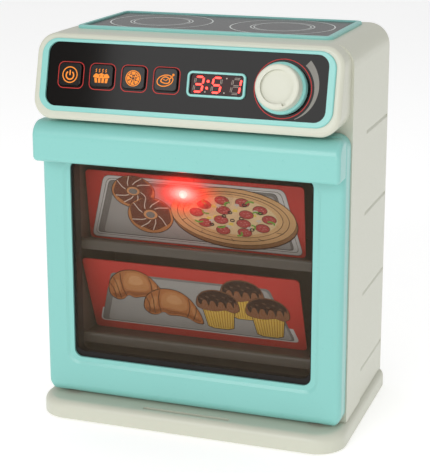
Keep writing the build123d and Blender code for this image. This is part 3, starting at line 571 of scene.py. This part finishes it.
def tray(top, foot, v_top, v_foot):
    """Baking tray: pale rolled rim, dark inner wall at the left and back, grey floor."""
    def quad(left, back, right, front, r):
        corners = [(-top + left, v_top - back), (top - right, v_top - back),
                   (foot - right * 1.1, v_foot + front), (-foot + left * 1.1, v_foot + front)]
        return [soft(corners, r)]
    return [(quad(-0.3, -0.3, -0.3, -0.3, 4.2), 0, INK["tray_line"]),
            (quad(0, 0, 0, 0, 4.0), 1, INK["tray_edge"]),
            (quad(1.9, 1.5, 1.9, 1.5, 3.4), 2, INK["tray_line"]),
            (quad(2.2, 1.8, 2.2, 1.8, 3.3), 3, INK["tray_edge"]),
            (quad(3.3, 2.6, 4.6, 2.6, 2.8), 4, INK["tray_line"]),
            (quad(3.6, 2.9, 4.9, 2.9, 2.7), 5, INK["tray_wall"]),
            (quad(7.2, 4.6, 6.2, 3.2, 2.2), 6, INK["tray"])]


def donut(x, y, rx, ry, level):
    hole = oval(x, y + 0.4, rx * 0.20, ry * 0.18)
    out = [([oval(x, y, rx + 0.45, ry + 0.45)], level, INK["line"]),
           ([oval(x, y, rx, ry)], level + 1, INK["dough_lit"])]
    wavy = []
    for i in range(64):
        a = 2 * math.pi * i / 64
        k = 0.91 + 0.035 * math.sin(6 * a + x)
        wavy.append((x + rx * k * math.cos(a), y + 0.9 + ry * k * math.sin(a)))
    out.append(([wavy], level + 2, INK["glaze"]))
    for k, turn in enumerate((28, 62, 100, 142, 205, 240, 275, 318)):
        a, b = math.radians(turn), math.radians(turn + 17)
        path = [(x + rx * r * math.cos(q), y + 0.9 + ry * r * math.sin(q))
                for r, q in ((0.92, a), (0.74, (2 * a + b) / 3), (0.55, b), (0.36, b + 0.22))]
        out.append((stroke(path, 0.55), level + 3, INK["drizzle"]))
    out += [([oval(x, y + 0.5, rx * 0.33, ry * 0.29)], level + 4, INK["line"]),
            ([oval(x, y + 0.5, rx * 0.31, ry * 0.27)], level + 5, INK["shine"]),
            ([hole], level + 6, INK["tray_wall"])]
    return out


def pizza(x, y, rx, ry, turn):
    t = math.radians(turn)

    def place(r, degrees):
        a = math.radians(degrees)
        px, py = r * rx * math.cos(a), r * ry * math.sin(a)
        return x + px * math.cos(t) - py * math.sin(t), y + px * math.sin(t) + py * math.cos(t)

    out = [([oval(x + 0.8, y - 2.6, rx + 0.4, ry + 0.4, turn)], 16, INK["line"]),
           ([oval(x + 0.8, y - 2.3, rx, ry, turn)], 17, INK["board_side"]),
           ([oval(x, y, rx + 0.3, ry + 0.3, turn)], 18, INK["line"]),
           ([oval(x, y, rx, ry, turn)], 19, INK["board"]),
           (ring(x, y, rx * 0.90, 0.4, ry * 0.88, turn), 20, INK["line"]),
           ([oval(x, y + 0.4, rx * 0.80, ry * 0.77, turn)], 20, INK["line"]),
           ([oval(x, y + 0.4, rx * 0.79, ry * 0.755, turn)], 21, INK["crust"]),
           ([oval(x, y + 0.4, rx * 0.71, ry * 0.66, turn)], 22, INK["cheese"])]
    for angle in (200, 232, 268, 300, 330):
        out.append((stroke([place(0.80, angle), place(0.90, angle + 3)], 0.35), 21, INK["line"]))
    for k in range(11):
        px, py = place(0.22 + 0.40 * ((k * 5) % 7) / 6, 61 * k + 14)
        out.append(([soft([(px - 1.7, py - 0.7), (px - 0.9, py + 1.0), (px + 1.5, py + 0.9),
                           (px + 1.8, py - 0.8)], 0.5)], 23, INK["fruit"]))
    for r, a in ((0.58, 4), (0.55, 38), (0.56, 74), (0.56, 108), (0.55, 146), (0.58, 180),
                 (0.56, 218), (0.56, 254), (0.56, 290), (0.56, 328), (0.25, 30), (0.24, 128),
                 (0.25, 222), (0.27, 310)):
        px, py = place(r, a)
        out.append(([oval(px, py, 4.5, 2.8, turn, 26)], 24, INK["line"]))
        out.append(([oval(px, py, 4.2, 2.5, turn, 26)], 25, INK["salami"]))
        for dx, dy in ((-1.4, 0.6), (0.9, 0.9), (0.3, -0.8), (1.9, -0.3)):
            out.append(([oval(px + dx, py + dy, 0.5, 0.3, steps=10)], 26, INK["salami_fat"]))
    for k in range(10):
        px, py = place(0.42 + 0.18 * (k % 2), 36 * k + 26)
        out.append((stroke(oval(px, py, 2.6, 1.3, start=37 * k, sweep=150, steps=10), 1.05), 27,
                    INK["green"]))
    for k in range(8):
        px, py = place(0.45 - 0.03 * (k % 3), 45 * k + 36)
        cap = [(px - 1.8, py - 0.3), (px - 1.1, py + 1.0), (px + 1.1, py + 1.0),
               (px + 1.8, py - 0.3), (px + 0.4, py - 0.2), (px + 0.4, py - 1.2),
               (px - 0.4, py - 1.2), (px - 0.4, py - 0.2)]
        out.append(([soft(cap, 0.2, 3)], 26, INK["cream"]))
    for k in range(9):
        px, py = place(0.50 - 0.36 * (k % 2), 40 * k + 68)
        out.append((ring(px, py, 1.5, 0.65, 1.05), 28, INK["olive"]))
    return out


def croissant(x, y, size, rise, turn, level):
    """Curled roll: a domed middle between two horns, banded where the dough was rolled."""
    t = math.radians(turn)

    def moved(points):
        return [(x + (px * math.cos(t) - py * math.sin(t)) * size,
                 y + (px * math.sin(t) + py * math.cos(t)) * rise) for px, py in points]

    def put(points, steps=5):
        return [smooth(moved(points), steps)]

    def line(points, width=0.45):
        return stroke(moved(points), width)

    outline = [(-17, -6), (-15.8, 1), (-11.5, 6.3), (-5, 9.6), (3, 9.8), (9.5, 6.4), (13.6, 1.2),
               (16.6, -4.6), (17.4, -9.4), (13.2, -9.8), (8.4, -7.6), (3, -7.4), (-2, -8.2),
               (-5.6, -6.8), (-9.5, -9.4), (-13.6, -9.6)]
    out = [(put([(px * 1.03, py * 1.05) for px, py in outline]), level, INK["line"]),
           (put(outline), level + 1, INK["dough"]),
           (put([(-16, -5.8), (-14, -8.6), (-9.6, -8.4), (-5.6, -5.8), (-2, -7.2), (3, -6.4),
                 (8.4, -6.6), (13.2, -8.8), (16.4, -8.4), (11, -5.6), (5, -4.6), (-1, -4.8),
                 (-6, -4.2), (-11, -6.2)]), level + 2, INK["bake"]),
           (put([(-6.6, -2.6), (-6.4, 4.2), (-2.6, 8.2), (3.6, 8.2), (8.0, 4.6), (8.4, -1.4),
                 (4.0, -3.8), (-2, -3.4)]), level + 2, INK["dough_lit"]),
           (put([(-3.4, 1.2), (-2.4, 5.0), (1.0, 6.8), (4.4, 5.4), (5.4, 1.8), (1.6, 0.2)]),
            level + 3, INK["shine"]),
           (put([(-13.4, -4.6), (-12.6, 1.0), (-9.8, 4.0), (-9.2, 0.4), (-10.4, -4.4)]), level + 2,
            INK["dough_lit"]),
           (put([(11.0, 2.2), (13.6, -2.0), (14.8, -5.4), (12.8, -5.4), (11.0, -1.8)]), level + 3,
            INK["dough_lit"])]
    for path in ([(-15.6, 1.2), (-14.0, -2.4), (-13.8, -6.0), (-14.2, -9.2)],
                 [(-12.4, 5.0), (-11.4, 0.6), (-11.2, -4.4), (-10.8, -9.0)],
                 [(-7.4, 8.2), (-8.2, 3.0), (-8.2, -2.4), (-7.0, -7.6)],
                 [(9.4, 6.2), (10.2, 1.4), (9.6, -3.4), (8.2, -7.4)],
                 [(13.8, 0.8), (13.6, -3.0), (12.6, -6.4), (11.8, -8.8)]):
        out.append((line(path), level + 4, INK["line"]))
    return out


def muffin(x, y, level):
    """Dripping chocolate on a brown cap over a pleated yellow cup; y is the cap's middle."""
    cup = [(x - 10.2, y - 3), (x + 10.2, y - 3), (x + 8.0, y - 19.0), (x + 4.4, y - 20.4),
           (x - 4.4, y - 20.4), (x - 8.0, y - 19.0)]
    edge = [(x + (px - x) * 1.045, y + (py - y) * 1.025) for px, py in cup]
    out = [([edge], level, INK["line"]), ([cup], level + 1, INK["cup"])]
    for k in range(-5, 6):
        out.append((stroke([(x + k * 1.84, y - 4), (x + k * 1.44, y - 19.8)], 0.5), level + 2,
                    INK["cup_dark"]))
    cap = [(-14.2, -3.6), (-13.2, 2.4), (-8.2, 7.0), (0, 8.6), (8.2, 7.0), (13.2, 2.4),
           (14.2, -3.6), (10.2, -6.2), (4.4, -5.0), (-1.6, -6.2), (-9.2, -5.9)]
    drip = [(-13.0, -0.4), (-12.4, 3.2), (-7.8, 6.7), (0, 8.2), (7.8, 6.7), (12.4, 3.2),
            (13.0, -0.4), (11.6, 1.0), (10.6, -2.8), (9.2, 0.5), (6.8, 0.6), (5.4, -3.6),
            (3.8, 0.1), (1.2, 0.4), (-0.4, -3.2), (-2.2, 0.4), (-4.6, 0.4), (-6.1, -2.8),
            (-7.6, 0.8), (-9.8, 0.6), (-11.2, -2.4)]

    def moved(points, k=1.0):
        return [(x + px * k * 0.93, y + py * k * 1.10) for px, py in points]

    out += [([smooth(moved(cap, 1.03), 4)], level + 3, INK["line"]),
            ([smooth(moved(cap), 4)], level + 4, INK["cake"]),
            ([smooth(moved(drip), 4)], level + 5, INK["choc"])]
    for px, py in ((-6, 3.6), (-1.5, 5.2), (4.2, 4.6), (8.4, 2.2), (0.6, 2.4), (-9.6, 1.8)):
        out.append(([oval(x + px, y + py, 1.1, 0.4, -20, 10)], level + 6, INK["choc_lit"]))
    return out


def food_prints():
    shapes = tray(56.0, 66.6, 41.6, 1.4)
    shapes += donut(-37.6, 32.4, 13.6, 9.9, 7) + donut(-27.4, 18.2, 14.4, 11.2, 9)
    shapes += pizza(24.5, 22.4, 38.5, 17.6, -2.0)
    printed("upper_card_picture", UPPER, "case", shapes, layer=0.02, thick=0.02)
    shapes = tray(54.0, 66.6, 47.5, 3.4)
    shapes += croissant(-36.0, 36.2, 1.06, 1.14, 4, 7)
    shapes += croissant(-13.5, 24.6, 1.08, 1.12, -6, 12)
    shapes += muffin(32.0, 39.5, 7) + muffin(15.6, 30.0, 14) + muffin(46.4, 28.0, 14)
    printed("lower_card_picture", LOWER, "case", shapes, layer=0.02, thick=0.02)


def glow_print():
    local = Vector(BULB) - UPPER.o
    u, v = local.dot(UPPER.u) / MM, local.dot(UPPER.v) / MM
    printed("bulb_glow", UPPER, "case", [([oval(u, v, 31.0, 15.0)], 0, halo())],
            lift=1.1, thick=0.02)


hob_prints()
button_prints()
display_prints()
window_prints()
food_prints()
glow_print()


# ---- floor, light and camera ---------------------------------------------------
def studio():
    bpy.ops.mesh.primitive_plane_add(size=40.0)
    floor = bpy.context.object
    floor.name = "studio_floor"
    white = moulded("floor_white", (0.88, 0.88, 0.88), rough=0.75, vary=0.004, bump=0.0, gloss=0.1)
    shader = white.node_tree.nodes["Principled BSDF"]
    shader.inputs["Emission Color"].default_value = (1, 1, 1, 1)
    shader.inputs["Emission Strength"].default_value = 0.40
    floor.data.materials.append(white)
    world = bpy.data.worlds.new("studio")
    world.use_nodes = True
    world.node_tree.nodes["Background"].inputs["Color"].default_value = (1, 1, 1, 1)
    world.node_tree.nodes["Background"].inputs["Strength"].default_value = 0.55
    scene.world = world
    middle = Vector((0, 0, 0.11))

    def area(name, place, size, watts, colour=(1, 1, 1)):
        data = bpy.data.lights.new(name, "AREA")
        data.shape, data.size, data.size_y = "RECTANGLE", size[0], size[1]
        data.energy, data.color = watts, colour
        lamp = bpy.data.objects.new(name, data)
        lamp.location = place
        lamp.rotation_euler = (middle - Vector(place)).to_track_quat("-Z", "Y").to_euler()
        scene.collection.objects.link(lamp)

    area("key_left", (-0.32, -1.55, 0.80), (0.80, 0.80), 8.5)
    area("front_fill", (0.45, -1.6, 0.30), (0.8, 0.5), 3.0)
    area("top_soft", (0.0, 0.15, 1.3), (1.0, 0.8), 2.0)
    area("right_rim", (1.2, 0.25, 0.6), (0.5, 0.9), 1.0)
    red = bpy.data.lights.new("bulb_light", "POINT")
    red.energy, red.color, red.shadow_soft_size = 0.012, (1.0, 0.08, 0.05), 3 * MM
    lamp = bpy.data.objects.new("bulb_light", red)
    lamp.location = BULB + Vector((0, -5 * MM, 0))
    scene.collection.objects.link(lamp)


def camera():
    data = bpy.data.cameras.new("view")
    data.sensor_width = 36.0
    data.lens = LENS
    data.shift_x, data.shift_y = SHIFT
    data.clip_start = 0.01
    cam = bpy.data.objects.new("view", data)
    cam.location = CAMERA_AT
    cam.rotation_euler = (math.pi / 2 - PITCH, 0, YAW)
    scene.collection.objects.link(cam)
    scene.camera = cam


YAW, PITCH = 0.3324, 0.2440
LENS = 105.0
SHIFT = (-0.0144, -0.12)
CAMERA_AT = (0.2650, -0.7521, 0.3398)
studio()
camera()
scene.view_settings.view_transform = "Standard"
